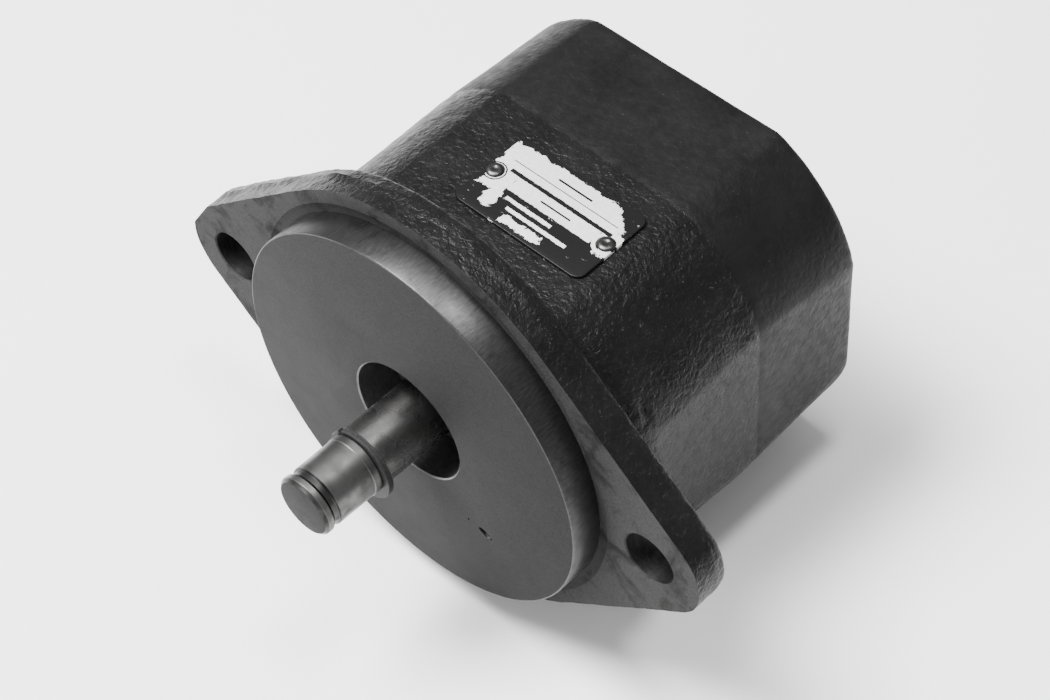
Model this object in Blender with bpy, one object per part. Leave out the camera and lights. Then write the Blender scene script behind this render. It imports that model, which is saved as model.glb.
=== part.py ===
"""Hydraulic external gear pump with a two-bolt SAE A flange, as separate named pieces.

Frame: origin at the centre of the drive shaft's free end face. The shaft axis runs along Y, so the
housing lies on +Y. +X is the flange's long axis, +Z is up, and the idler gear lies below the drive gear.
"""
import math

import bmesh
import bpy

MM = 0.001
AXIS_X = 0.0

# Stations along the shaft axis, from the free end of the shaft (y = 0).
SHAFT_EXTENSION = 32.7 * MM
PILOT_HEIGHT = 6.35 * MM
FLANGE_FACE = SHAFT_EXTENSION
PILOT_FACE = FLANGE_FACE - PILOT_HEIGHT
FLANGE_THICKNESS = 7.6 * MM
FLANGE_BACK = FLANGE_FACE + FLANGE_THICKNESS
NECK_END = FLANGE_FACE + 16.3 * MM
SEAM = FLANGE_FACE + 44.2 * MM
REAR_FACE = FLANGE_FACE + 71.3 * MM

# Mounting flange and pilot.
PILOT_RADIUS = 41.275 * MM
PILOT_CHAMFER = 0.4 * MM
HOLE_RELIEF = 9.0 * MM
FLANGE_BIG_RADIUS = 46.3 * MM
FLANGE_EAR_RADIUS = 11.6 * MM
BOLT_SPACING = 106.4 * MM
BOLT_HOLE_RADIUS = 5.55 * MM

# Housing section: flats on the top, the bottom and both sides, joined by four bulging corner arcs.
# Each section is (half width, half height, half length of the top flat, half length of a side flat).
HOUSING_CENTRE_X = -0.8 * MM
HOUSING_CENTRE_Z = -6.4 * MM
HALF_HEIGHT = 37.3 * MM
FRONT_SECTION = (41.4 * MM, HALF_HEIGHT, 21.5 * MM, 15.5 * MM)
SEAM_SECTION = (41.4 * MM, HALF_HEIGHT, 22.5 * MM, 18.0 * MM)
REAR_SECTION = (41.5 * MM, 36.5 * MM, 22.9 * MM, 14.5 * MM)
CORNER_ARC_RADIUS = 32.0 * MM
NECK_RADIUS = 43.2 * MM
REAR_EDGE_CHAMFER = 1.5 * MM
ARC_SEGMENTS = 8

# Clearances.
GAP = 0.3 * MM
RUNNING_GAP = 0.08 * MM

# Gear pair.
TEETH = 10
GEAR_MODULE = 1.8 * MM
PRESSURE_ANGLE = math.radians(28.0)
CENTRE_DISTANCE = TEETH * GEAR_MODULE
DRIVE_Z = 0.0
IDLER_Z = -CENTRE_DISTANCE
MESH_Z = -CENTRE_DISTANCE / 2
BACKLASH = 0.12 * MM
GEAR_TIP_RADIUS = GEAR_MODULE * (TEETH + 2) / 2
GEAR_ROOT_RADIUS = GEAR_MODULE * (TEETH - 2.5) / 2
CHAMBER_RADIUS = GEAR_TIP_RADIUS + 0.15 * MM

# Stations of the inner pieces.
CHAMBER_FLOOR = FLANGE_FACE + 24.0 * MM
WEAR_PLATE_THICKNESS = 3.0 * MM
GEAR_START = CHAMBER_FLOOR + WEAR_PLATE_THICKNESS + 2 * GAP
REAR_PLATE_START = SEAM - WEAR_PLATE_THICKNESS
GEAR_END = REAR_PLATE_START - GAP
FRONT_BUSH_START = FLANGE_FACE + 12.0 * MM
BUSH_LENGTH = 11.5 * MM
JOURNAL_RADIUS = 6.35 * MM
BUSH_OUTER_RADIUS = 8.0 * MM
COVER_FACE = SEAM + GAP
REAR_BUSH_START = COVER_FACE + GAP
REAR_BORE_DEPTH = 13.0 * MM

# Free end of the drive shaft.
SMALL_END_RADIUS = 6.25 * MM
TIP_RADIUS = 6.3 * MM
TIP_CHAMFER = 0.6 * MM
SHAFT_RADIUS = 6.35 * MM
TIP_DISC_END = 2.1 * MM
TIP_GROOVE_END = 3.6 * MM
TIP_GROOVE_RADIUS = 5.75 * MM
SHOULDER_START = 12.0 * MM
SHOULDER_END = 12.2 * MM
RING_GROOVE_START = 13.6 * MM
RING_GROOVE_END = 15.2 * MM
RING_GROOVE_RADIUS = 5.75 * MM
RING_RADIUS = 7.5 * MM
RING_OFFSET = (0.35 * MM, -0.45 * MM)

# Shaft seal in the pilot bore.
SEAL_BORE_RADIUS = 13.0 * MM
SEAL_BORE_END = FLANGE_FACE + 9.0 * MM
SEAL_START = FLANGE_FACE + 2.4 * MM
SEAL_LENGTH = 6.2 * MM

# Cover bolts, dowels, ports.
COVER_BOLT_X = 23.5 * MM
COVER_BOLT_RISE = 23.0 * MM
COVER_BOLT_RADIUS = 4.0 * MM
BOLT_HEAD_RADIUS = 6.5 * MM
BOLT_HEAD_HEIGHT = 8.0 * MM
BOLT_HEAD_RECESS = 0.8 * MM
BOLT_SOCKET_FLATS = 6.0 * MM
BOLT_SOCKET_DEPTH = 4.0 * MM
BOLT_LENGTH = 34.0 * MM
DOWEL_X = 34.5 * MM
DOWEL_RADIUS = 3.0 * MM
DOWEL_LENGTH = 12.0 * MM
PORT_X = 17.0 * MM
PORT_RADIUS = 8.0 * MM
PORT_DEPTH = 14.0 * MM
PASSAGE_X = 13.0 * MM
PASSAGE_RADIUS = 4.0 * MM
POCKET_X = 11.0 * MM
POCKET_STEP = 0.4 * MM
POCKET_RADIUS = 5.0 * MM

# Seal rings at the joints.
COVER_SEAL_RADIUS = 19.0 * MM
COVER_SEAL_SECTION = 0.95 * MM
COVER_GROOVE_DEPTH = 2.2 * MM
PLATE_SEAL_RADIUS = 9.9 * MM
PLATE_SEAL_WIDTH = 0.9 * MM
PLATE_SEAL_DEPTH = 1.2 * MM

# Shaft key, on the lower side of the shaft end.
KEY_WIDTH = 3.0 * MM
KEY_LENGTH = 6.4 * MM
KEY_START = 4.6 * MM
KEY_SEAT = 1.9 * MM
KEY_HEIGHT = 3.0 * MM

# Nameplate on the top flat.
PLATE_X = 4.0 * MM
PLATE_Y = FLANGE_FACE + 28.9 * MM
PLATE_SIZE_X = 31.0 * MM
PLATE_SIZE_Y = 18.8 * MM
PLATE_THICKNESS = 0.4 * MM
PLATE_CORNER = 2.0 * MM
RIVET_OFFSET = 13.6 * MM
RIVET_HEAD_RADIUS = 1.7 * MM
RIVET_SHANK_RADIUS = 0.9 * MM
RIVET_LENGTH = 4.0 * MM

ROUND = 32
SMALL_ROUND = 16

TOP_Z = HOUSING_CENTRE_Z + HALF_HEIGHT


def clear_scene():
    for item in list(bpy.data.objects):
        bpy.data.objects.remove(item, do_unlink=True)


def make_material(name, colour, roughness, metallic):
    material = bpy.data.materials.new(name)
    material.use_nodes = True
    shader = material.node_tree.nodes["Principled BSDF"]
    shader.inputs["Base Color"].default_value = (*colour, 1.0)
    shader.inputs["Roughness"].default_value = roughness
    shader.inputs["Metallic"].default_value = metallic
    return material


def mesh_object(name, bm, material=None):
    """Turn a bmesh into a smooth-shaded object whose faces point outwards."""
    bmesh.ops.recalc_face_normals(bm, faces=bm.faces)
    mesh = bpy.data.meshes.new(name)
    bm.to_mesh(mesh)
    bm.free()
    mesh.shade_smooth()
    mesh.set_sharp_from_angle(angle=math.radians(30.0))
    item = bpy.data.objects.new(name, mesh)
    bpy.context.scene.collection.objects.link(item)
    if material is not None:
        mesh.materials.append(material)
    return item


def loft(name, sections, material=None):
    """Close a skin over sections, each a pair (y, outline) with the same number of (x, z) points."""
    bm = bmesh.new()
    rings = [[bm.verts.new((x, y, z)) for x, z in outline] for y, outline in sections]
    for near, far in zip(rings, rings[1:]):
        count = len(near)
        for index in range(count):
            after = (index + 1) % count
            bm.faces.new((near[index], near[after], far[after], far[index]))
    bm.faces.new(rings[0])
    bm.faces.new(rings[-1])
    return mesh_object(name, bm, material)


def prism(name, outline, start, end, material=None):
    return loft(name, [(start, outline), (end, outline)], material)


def turned(name, profile, material=None, x=0.0, z=0.0, segments=ROUND):
    """Turn a solid about an axis along Y. The profile is (radius, y) from one axis end to the other."""
    outlines = [(y, circle(radius, x, z, segments)) for radius, y in profile]
    return loft(name, outlines, material)


def turned_ring(name, profile, material=None, x=0.0, z=0.0, segments=ROUND):
    """Turn a closed (radius, y) profile that stays off the axis into a ring."""
    bm = bmesh.new()
    rings = []
    for radius, y in profile:
        rings.append([bm.verts.new((px, y, pz)) for px, pz in circle(radius, x, z, segments)])
    for near, far in zip(rings, rings[1:] + rings[:1]):
        for index in range(segments):
            after = (index + 1) % segments
            bm.faces.new((near[index], near[after], far[after], far[index]))
    return mesh_object(name, bm, material)


def arc(radius, start, end, segments, x=0.0, z=0.0):
    """Points on an arc from start to end, in radians from +X towards +Z, both ends included."""
    step = (end - start) / segments
    angles = [start + step * index for index in range(segments + 1)]
    return [(x + radius * math.cos(angle), z + radius * math.sin(angle)) for angle in angles]


def circle(radius, x=0.0, z=0.0, segments=ROUND):
    return arc(radius, 0.0, 2 * math.pi, segments, x, z)[:-1]


def rounded_rectangle(width, height, corner, segments=4):
    points = []
    for turn, (side_x, side_z) in enumerate(((1, 1), (-1, 1), (-1, -1), (1, -1))):
        start = turn * math.pi / 2
        centre = (side_x * (width / 2 - corner), side_z * (height / 2 - corner))
        points += arc(corner, start, start + math.pi / 2, segments, *centre)
    return points


def arc_between(first, last, radius, segments):
    """Points on the outward-bulging arc of a given radius from first to last, anticlockwise."""
    run = (last[0] - first[0], last[1] - first[1])
    chord = math.hypot(*run)
    depth = math.sqrt(radius ** 2 - (chord / 2) ** 2)
    centre_x = (first[0] + last[0]) / 2 - run[1] / chord * depth
    centre_z = (first[1] + last[1]) / 2 + run[0] / chord * depth
    start = math.atan2(first[1] - centre_z, first[0] - centre_x)
    sweep = 2 * math.asin(chord / 2 / radius)
    return arc(radius, start, start + sweep, segments, centre_x, centre_z)


def housing_outline(section, inset=0.0):
    """Housing section as four corner arcs joined by the straight flats."""
    width, height, top, side = section
    width -= inset
    height -= inset
    x, z = HOUSING_CENTRE_X, HOUSING_CENTRE_Z
    corners = (((x + width, z + side), (x + top, z + height)),
               ((x - top, z + height), (x - width, z + side)),
               ((x - width, z - side), (x - top, z - height)),
               ((x + top, z - height), (x + width, z - side)))
    points = []
    for first, last in corners:
        points += arc_between(first, last, CORNER_ARC_RADIUS, ARC_SEGMENTS)
    return points


def neck_outline():
    """Round neck behind the flange, cut by the top and bottom flats."""
    top = math.asin((HALF_HEIGHT - 0.05 * MM) / NECK_RADIUS)
    segments = 3 * ARC_SEGMENTS
    points = arc(NECK_RADIUS, -top, top, segments, 0.0, HOUSING_CENTRE_Z)
    points += arc(NECK_RADIUS, math.pi - top, math.pi + top, segments, 0.0, HOUSING_CENTRE_Z)
    return points


def flange_outline():
    """Two small ear circles wrapped together with the big flange circle by tangent lines."""
    ear_x = BOLT_SPACING / 2
    tilt = math.acos((FLANGE_BIG_RADIUS - FLANGE_EAR_RADIUS) / ear_x)
    points = arc(FLANGE_EAR_RADIUS, -tilt, tilt, ARC_SEGMENTS, ear_x)
    points += arc(FLANGE_BIG_RADIUS, tilt, math.pi - tilt, 2 * ARC_SEGMENTS)
    points += arc(FLANGE_EAR_RADIUS, math.pi - tilt, math.pi + tilt, ARC_SEGMENTS, -ear_x)
    points += arc(FLANGE_BIG_RADIUS, math.pi + tilt, 2 * math.pi - tilt, 2 * ARC_SEGMENTS)
    return points


def figure_eight(radius, segments=12):
    """Outline of two equal circles round the two gear axes, meeting between them."""
    dip = math.asin(CENTRE_DISTANCE / 2 / radius)
    points = arc(radius, -dip, math.pi + dip, segments, 0.0, DRIVE_Z)[:-1]
    points += arc(radius, math.pi - dip, 2 * math.pi + dip, segments, 0.0, IDLER_Z)[:-1]
    return points


def racetrack(radius, segments=12):
    points = arc(radius, 0.0, math.pi, segments, 0.0, DRIVE_Z)
    points += arc(radius, math.pi, 2 * math.pi, segments, 0.0, IDLER_Z)
    return points


def involute(angle):
    return math.tan(angle) - angle


def gear_outline(centre_z, turn, flank_segments=4):
    """Spur gear with involute flanks, turned by turn radians about its own axis."""
    pitch_radius = GEAR_MODULE * TEETH / 2
    base_radius = pitch_radius * math.cos(PRESSURE_ANGLE)
    half_tooth = math.pi / (2 * TEETH) - BACKLASH / (2 * pitch_radius)
    flank = [(GEAR_ROOT_RADIUS, half_tooth + involute(PRESSURE_ANGLE))]
    for step in range(flank_segments + 1):
        radius = base_radius + (GEAR_TIP_RADIUS - base_radius) * step / flank_segments
        pressure = math.acos(min(1.0, base_radius / radius))
        flank.append((radius, half_tooth + involute(PRESSURE_ANGLE) - involute(pressure)))
    points = []
    for tooth in range(TEETH):
        middle = turn + tooth * 2 * math.pi / TEETH
        sides = [(radius, middle - offset) for radius, offset in flank]
        sides += [(radius, middle + offset) for radius, offset in reversed(flank)]
        for radius, angle in sides:
            points.append((radius * math.cos(angle), centre_z + radius * math.sin(angle)))
    return points


def combine(target, tool, operation):
    """Add or cut a helper solid by a Boolean, and hide the helper."""
    modifier = target.modifiers.new(operation.lower() + "_" + tool.name, "BOOLEAN")
    modifier.operation = operation
    modifier.solver = "EXACT"
    modifier.object = tool
    tool.hide_render = True
    tool.display_type = "WIRE"
    return target


def cut(target, *tools):
    for tool in tools:
        combine(target, tool, "DIFFERENCE")
    return target


def join(target, *tools):
    for tool in tools:
        combine(target, tool, "UNION")
    return target


def sides():
    """The four cover bolt positions as (name, x, z)."""
    low = HOUSING_CENTRE_Z - COVER_BOLT_RISE
    high = HOUSING_CENTRE_Z + COVER_BOLT_RISE
    return (("upper_left", -COVER_BOLT_X, high), ("upper_right", COVER_BOLT_X, high),
            ("lower_left", -COVER_BOLT_X, low), ("lower_right", COVER_BOLT_X, low))


def gear_shafts():
    """The two gear axes as (name, z)."""
    return (("drive", DRIVE_Z), ("idler", IDLER_Z))


def front_body(material):
    """Front casting: flange, pilot, round neck and the housing that holds the gear chamber."""
    overlap = 1.0 * MM
    front = housing_outline(FRONT_SECTION)
    seam = housing_outline(SEAM_SECTION)
    body = loft("front_body", [(NECK_END - overlap, front), (SEAM, seam)], material)
    neck = prism("front_body_neck", neck_outline(), FLANGE_BACK - overlap, NECK_END)
    flange = prism("front_body_flange", flange_outline(), FLANGE_FACE, FLANGE_BACK)
    pilot = turned("front_body_pilot", [(PILOT_RADIUS - PILOT_CHAMFER, PILOT_FACE),
                                        (PILOT_RADIUS, PILOT_FACE + PILOT_CHAMFER),
                                        (PILOT_RADIUS, FLANGE_FACE + overlap)], segments=48)
    join(body, neck, flange, pilot)
    return body


def bore(name, radius, start, end, x=0.0, z=0.0, segments=ROUND):
    return turned(name, [(radius, start), (radius, end)], None, x, z, segments)


def machine_front_body(body):
    past = 2.0 * MM
    cut(body, turned("cut_seal_bore", [(SEAL_BORE_RADIUS + 2.5 * MM, PILOT_FACE - past),
                                       (SEAL_BORE_RADIUS, PILOT_FACE + 0.5 * MM),
                                       (SEAL_BORE_RADIUS, SEAL_BORE_END)]))
    for side in (-1, 1):
        cut(body, bore("cut_flange_hole", BOLT_HOLE_RADIUS, FLANGE_FACE - past, FLANGE_BACK + HOLE_RELIEF,
                       side * BOLT_SPACING / 2, 0.0, SMALL_ROUND))
    cut(body, bore("cut_shaft_way", SHAFT_RADIUS + 0.5 * MM, SEAL_BORE_END - past, FRONT_BUSH_START + past))
    for name, z in gear_shafts():
        cut(body, bore("cut_front_bush_" + name, BUSH_OUTER_RADIUS + GAP, FRONT_BUSH_START - GAP,
                       CHAMBER_FLOOR + past, 0.0, z))
    cut(body, prism("cut_chamber", figure_eight(CHAMBER_RADIUS, 24), CHAMBER_FLOOR, SEAM + past))
    for side in (-1, 1):
        cut(body, bore("cut_pocket", POCKET_RADIUS, CHAMBER_FLOOR + POCKET_STEP, SEAM + past,
                       side * POCKET_X, MESH_Z, SMALL_ROUND))
    for name, x, z in sides():
        end = rear_bolt_seat() - BOLT_LENGTH - past
        cut(body, bore("cut_tapped_" + name, COVER_BOLT_RADIUS + GAP, end, SEAM + past, x, z, SMALL_ROUND))
    for side in (-1, 1):
        cut(body, bore("cut_front_dowel", DOWEL_RADIUS + GAP, SEAM - DOWEL_LENGTH / 2 - GAP, SEAM + past,
                       side * DOWEL_X, HOUSING_CENTRE_Z, SMALL_ROUND))
    for side in (-1, 1):
        cut(body, rivet_hole(side))
    return body


def rivet_hole(side):
    bm = bmesh.new()
    bmesh.ops.create_cone(bm, cap_ends=True, segments=12, radius1=RIVET_SHANK_RADIUS + GAP,
                          radius2=RIVET_SHANK_RADIUS + GAP, depth=2 * RIVET_LENGTH)
    hole = mesh_object("cut_rivet", bm)
    hole.location = (PLATE_X + side * RIVET_OFFSET, PLATE_Y, TOP_Z)
    return hole


def rear_bolt_seat():
    return REAR_FACE - BOLT_HEAD_RECESS - BOLT_HEAD_HEIGHT


def rear_cover(material):
    """Rear casting with the blind bush bores, both ports, the seal groove and the bolt counterbores."""
    past = 2.0 * MM
    seam = housing_outline(SEAM_SECTION)
    edge = housing_outline(REAR_SECTION)
    rim = housing_outline(REAR_SECTION, REAR_EDGE_CHAMFER)
    cover = loft("rear_cover", [(COVER_FACE, seam), (REAR_FACE - REAR_EDGE_CHAMFER, edge),
                                (REAR_FACE, rim)], material)
    for name, z in gear_shafts():
        cut(cover, bore("cut_rear_bush_" + name, BUSH_OUTER_RADIUS + GAP, COVER_FACE - past,
                        COVER_FACE + REAR_BORE_DEPTH, 0.0, z))
    for side in (-1, 1):
        cut(cover, bore("cut_port", PORT_RADIUS, REAR_FACE - PORT_DEPTH, REAR_FACE + past,
                        side * PORT_X, MESH_Z, SMALL_ROUND))
        cut(cover, bore("cut_passage", PASSAGE_RADIUS, COVER_FACE - past, REAR_FACE - PORT_DEPTH + past,
                        side * PASSAGE_X, MESH_Z, SMALL_ROUND))
        cut(cover, bore("cut_rear_dowel", DOWEL_RADIUS + GAP, COVER_FACE - past,
                        SEAM + DOWEL_LENGTH / 2 + GAP, side * DOWEL_X, HOUSING_CENTRE_Z, SMALL_ROUND))
    for name, x, z in sides():
        cut(cover, bore("cut_bolt_" + name, COVER_BOLT_RADIUS + GAP, COVER_FACE - past, REAR_FACE,
                        x, z, SMALL_ROUND))
        cut(cover, bore("cut_counterbore_" + name, BOLT_HEAD_RADIUS + GAP, rear_bolt_seat() - GAP,
                        REAR_FACE + past, x, z, SMALL_ROUND))
    cut(cover, band("cut_seal_groove", racetrack(COVER_SEAL_RADIUS + 1.2 * MM),
                    racetrack(COVER_SEAL_RADIUS - 1.2 * MM), COVER_FACE - past,
                    COVER_FACE + COVER_GROOVE_DEPTH))
    return cover


def band(name, outer, inner, start, end, material=None):
    """Closed band between two outlines with the same number of points."""
    bm = bmesh.new()
    loops = []
    for outline, y in ((outer, start), (outer, end), (inner, end), (inner, start)):
        loops.append([bm.verts.new((x, y, z)) for x, z in outline])
    count = len(outer)
    for near, far in zip(loops, loops[1:] + loops[:1]):
        for index in range(count):
            after = (index + 1) % count
            bm.faces.new((near[index], near[after], far[after], far[index]))
    return mesh_object(name, bm, material)


def drive_gear_shaft(material):
    """Drive shaft with its stepped free end, seal land, journals and integral gear."""
    relief = 0.6 * MM
    end = REAR_BUSH_START + BUSH_LENGTH
    shaft = turned("drive_gear_shaft", [
        (TIP_RADIUS - TIP_CHAMFER, 0.0),
        (TIP_RADIUS, TIP_CHAMFER),
        (TIP_RADIUS, TIP_DISC_END),
        (TIP_GROOVE_RADIUS, TIP_DISC_END),
        (TIP_GROOVE_RADIUS, TIP_GROOVE_END),
        (SMALL_END_RADIUS, TIP_GROOVE_END),
        (SMALL_END_RADIUS, SHOULDER_START),
        (SHAFT_RADIUS, SHOULDER_END),
        (SHAFT_RADIUS, RING_GROOVE_START),
        (RING_GROOVE_RADIUS, RING_GROOVE_START),
        (RING_GROOVE_RADIUS, RING_GROOVE_END),
        (SHAFT_RADIUS, RING_GROOVE_END),
        (JOURNAL_RADIUS, end - relief),
        (JOURNAL_RADIUS - relief, end)], material)
    gear = prism("drive_gear_blank", gear_outline(DRIVE_Z, math.pi / 2), GEAR_START, GEAR_END)
    join(shaft, gear)
    bm = bmesh.new()
    bmesh.ops.create_cube(bm, size=1.0)
    keyway = mesh_object("cut_keyway", bm)
    depth = 4.0 * MM
    keyway.scale = (KEY_WIDTH + 2 * GAP, KEY_LENGTH + 2 * GAP, depth)
    keyway.location = (AXIS_X, KEY_START + KEY_LENGTH / 2, -(SMALL_END_RADIUS - KEY_SEAT) - depth / 2)
    cut(shaft, keyway)
    return shaft


def idler_gear_shaft(material):
    relief = 0.6 * MM
    start = FRONT_BUSH_START + GAP
    end = REAR_BUSH_START + BUSH_LENGTH
    shaft = turned("idler_gear_shaft", [
        (JOURNAL_RADIUS - relief, start),
        (JOURNAL_RADIUS, start + relief),
        (JOURNAL_RADIUS, end - relief),
        (JOURNAL_RADIUS - relief, end)], material)
    half_pitch = math.pi / TEETH
    gear = prism("idler_gear_blank", gear_outline(0.0, math.pi / 2 + half_pitch), GEAR_START, GEAR_END)
    gear.location = (AXIS_X, 0.0, IDLER_Z)
    place = (AXIS_X, 0.0, IDLER_Z)
    shaft.location = place
    join(shaft, gear)
    return shaft


def shaft_key(material):
    top = -(SMALL_END_RADIUS - KEY_SEAT) - GAP
    bm = bmesh.new()
    bmesh.ops.create_cube(bm, size=1.0)
    for vertex in bm.verts:
        vertex.co.x *= KEY_WIDTH
        vertex.co.y = vertex.co.y * KEY_LENGTH + KEY_START + KEY_LENGTH / 2
        vertex.co.z = vertex.co.z * KEY_HEIGHT + top - KEY_HEIGHT / 2
    return mesh_object("shaft_key", bm, material)


def shaft_retaining_ring(material):
    """Split ring in the shaft groove, thickest on the lower right and open on the upper left."""
    inner = RING_GROOVE_RADIUS + 0.15 * MM
    start = RING_GROOVE_START + 0.2 * MM
    end = RING_GROOVE_END - 0.2 * MM
    opening = math.radians(5.0)
    middle = math.atan2(-RING_OFFSET[1], -RING_OFFSET[0])
    low = middle + opening
    high = middle + 2 * math.pi - opening
    outline = arc(RING_RADIUS, low, high, ROUND, *RING_OFFSET) + arc(inner, high, low, ROUND)
    return prism("shaft_retaining_ring", outline, start, end, material)


def journal_bush(name, start, z, material):
    inner = JOURNAL_RADIUS + RUNNING_GAP
    return band(name, circle(BUSH_OUTER_RADIUS, 0.0, z), circle(inner, 0.0, z), start,
                start + BUSH_LENGTH, material)


def wear_plate(name, start, material):
    """Figure-eight thrust plate with two journal holes."""
    past = 1.0 * MM
    outline = figure_eight(CHAMBER_RADIUS - GAP)
    plate = prism(name, outline, start, start + WEAR_PLATE_THICKNESS - GAP, material)
    for shaft_name, z in gear_shafts():
        cut(plate, bore("cut_" + name + "_" + shaft_name, JOURNAL_RADIUS + GAP, start - past,
                        start + WEAR_PLATE_THICKNESS + past, 0.0, z))
    return plate


def plate_seal(material):
    """Rubber pressure seal that follows the front wear plate's edge, in a groove in the chamber floor."""
    half = PLATE_SEAL_WIDTH / 2
    start = CHAMBER_FLOOR - PLATE_SEAL_DEPTH + GAP
    return band("wear_plate_seal", figure_eight(PLATE_SEAL_RADIUS + half),
                figure_eight(PLATE_SEAL_RADIUS - half), start, CHAMBER_FLOOR, material)


def plate_seal_groove():
    half = PLATE_SEAL_WIDTH / 2 + GAP
    return band("cut_plate_seal_groove", figure_eight(PLATE_SEAL_RADIUS + half),
                figure_eight(PLATE_SEAL_RADIUS - half), CHAMBER_FLOOR - PLATE_SEAL_DEPTH,
                CHAMBER_FLOOR + 1.0 * MM)


def cover_seal_ring(material):
    """Round-section seal ring that follows the racetrack groove in the cover."""
    path = racetrack(COVER_SEAL_RADIUS)
    inside = racetrack(COVER_SEAL_RADIUS - COVER_SEAL_SECTION)
    sections = 8
    centre_y = COVER_FACE + 1.0 * MM
    bm = bmesh.new()
    loops = []
    for step in range(sections):
        angle = 2 * math.pi * step / sections
        reach = math.cos(angle)
        y = centre_y + COVER_SEAL_SECTION * math.sin(angle)
        loop = []
        for (px, pz), (ix, iz) in zip(path, inside):
            loop.append(bm.verts.new((px + (px - ix) * reach, y, pz + (pz - iz) * reach)))
        loops.append(loop)
    count = len(path)
    for near, far in zip(loops, loops[1:] + loops[:1]):
        for index in range(count):
            after = (index + 1) % count
            bm.faces.new((near[index], near[after], far[after], far[index]))
    return mesh_object("cover_seal_ring", bm, material)


def shaft_seal_case(material):
    """Pressed steel cup of the lip seal, web on the outside, open towards the oil."""
    outer = SEAL_BORE_RADIUS - GAP
    wall = 0.8 * MM
    web_inner = 9.6 * MM
    end = SEAL_START + SEAL_LENGTH
    return turned_ring("shaft_seal_case", [
        (web_inner, SEAL_START), (outer, SEAL_START), (outer, end),
        (outer - wall, end), (outer - wall, SEAL_START + wall), (web_inner, SEAL_START + wall)], material)


def shaft_seal_lip(material):
    """Rubber lip: a collar under the case web, a thin neck and the sealing edge on the shaft."""
    edge = SHAFT_RADIUS + RUNNING_GAP
    collar_inner = 7.4 * MM
    collar_outer = 9.3 * MM
    neck = 7.6 * MM
    heel = 8.0 * MM
    profile = [
        (collar_inner, SEAL_START),
        (collar_outer, SEAL_START),
        (collar_outer, SEAL_START + 1.4 * MM),
        (heel, SEAL_START + 1.8 * MM),
        (neck, SEAL_START + 3.2 * MM),
        (neck, SEAL_START + 4.4 * MM),
        (heel, SEAL_START + 5.2 * MM),
        (collar_inner, SEAL_START + 5.4 * MM),
        (edge, SEAL_START + 4.0 * MM)]
    return turned_ring("shaft_seal_lip", profile, material)


def seal_garter_spring(material):
    """Coil spring ring round the lip, as a plain torus."""
    section = 0.55 * MM
    centre = 8.5 * MM
    middle = SEAL_START + 3.7 * MM
    profile = []
    for step in range(8):
        angle = 2 * math.pi * step / 8
        profile.append((centre + section * math.cos(angle), middle + section * math.sin(angle)))
    return turned_ring("seal_garter_spring", profile, material)


def cover_bolt(name, x, z, material):
    """Socket-head screw: shank and head turned as one, with a hexagon socket."""
    chamfer = 0.5 * MM
    seat = rear_bolt_seat()
    head_end = seat + BOLT_HEAD_HEIGHT
    bolt = turned("cover_bolt_" + name, [
        (COVER_BOLT_RADIUS - 2 * chamfer, seat - BOLT_LENGTH),
        (COVER_BOLT_RADIUS, seat - BOLT_LENGTH + 2 * chamfer),
        (COVER_BOLT_RADIUS, seat),
        (BOLT_HEAD_RADIUS, seat),
        (BOLT_HEAD_RADIUS, head_end - chamfer),
        (BOLT_HEAD_RADIUS - chamfer, head_end)], material, x, z, SMALL_ROUND)
    corner = BOLT_SOCKET_FLATS / math.sqrt(3.0)
    socket = prism("cut_socket_" + name, circle(corner, x, z, 6), head_end - BOLT_SOCKET_DEPTH,
                   head_end + 1.0 * MM)
    return cut(bolt, socket)


def dowel_pin(name, x, material):
    chamfer = 0.5 * MM
    start = SEAM - DOWEL_LENGTH / 2
    end = SEAM + DOWEL_LENGTH / 2
    return turned(name, [(DOWEL_RADIUS - chamfer, start), (DOWEL_RADIUS, start + chamfer),
                         (DOWEL_RADIUS, end - chamfer), (DOWEL_RADIUS - chamfer, end)],
                  material, x, HOUSING_CENTRE_Z, SMALL_ROUND)


def nameplate(material):
    """Thin plate with rounded corners, lying on the top flat."""
    bottom = TOP_Z + GAP
    bm = bmesh.new()
    outline = rounded_rectangle(PLATE_SIZE_X, PLATE_SIZE_Y, PLATE_CORNER)
    lower = [bm.verts.new((PLATE_X + px, PLATE_Y + py, bottom)) for px, py in outline]
    upper = [bm.verts.new((PLATE_X + px, PLATE_Y + py, bottom + PLATE_THICKNESS)) for px, py in outline]
    count = len(outline)
    for index in range(count):
        after = (index + 1) % count
        bm.faces.new((lower[index], lower[after], upper[after], upper[index]))
    bm.faces.new(lower)
    bm.faces.new(upper)
    plate = mesh_object("nameplate", bm, material)
    for side in (-1, 1):
        cut(plate, rivet_hole(side))
    return plate


def nameplate_rivet(name, side, material):
    """Drive screw: a low round head on a short shank, standing in the top flat."""
    head_start = TOP_Z + GAP + PLATE_THICKNESS + 0.1 * MM
    segments = 12
    profile = [(RIVET_SHANK_RADIUS, head_start - RIVET_LENGTH), (RIVET_SHANK_RADIUS, head_start),
               (RIVET_HEAD_RADIUS, head_start), (RIVET_HEAD_RADIUS * 0.92, head_start + 0.3 * MM),
               (RIVET_HEAD_RADIUS * 0.55, head_start + 0.55 * MM)]
    x = PLATE_X + side * RIVET_OFFSET
    bm = bmesh.new()
    rings = []
    for radius, z in profile:
        rings.append([bm.verts.new((px, py, z)) for px, py in circle(radius, x, PLATE_Y, segments)])
    for near, far in zip(rings, rings[1:]):
        for index in range(segments):
            after = (index + 1) % segments
            bm.faces.new((near[index], near[after], far[after], far[index]))
    bm.faces.new(rings[0])
    bm.faces.new(rings[-1])
    return mesh_object(name, bm, material)


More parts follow.
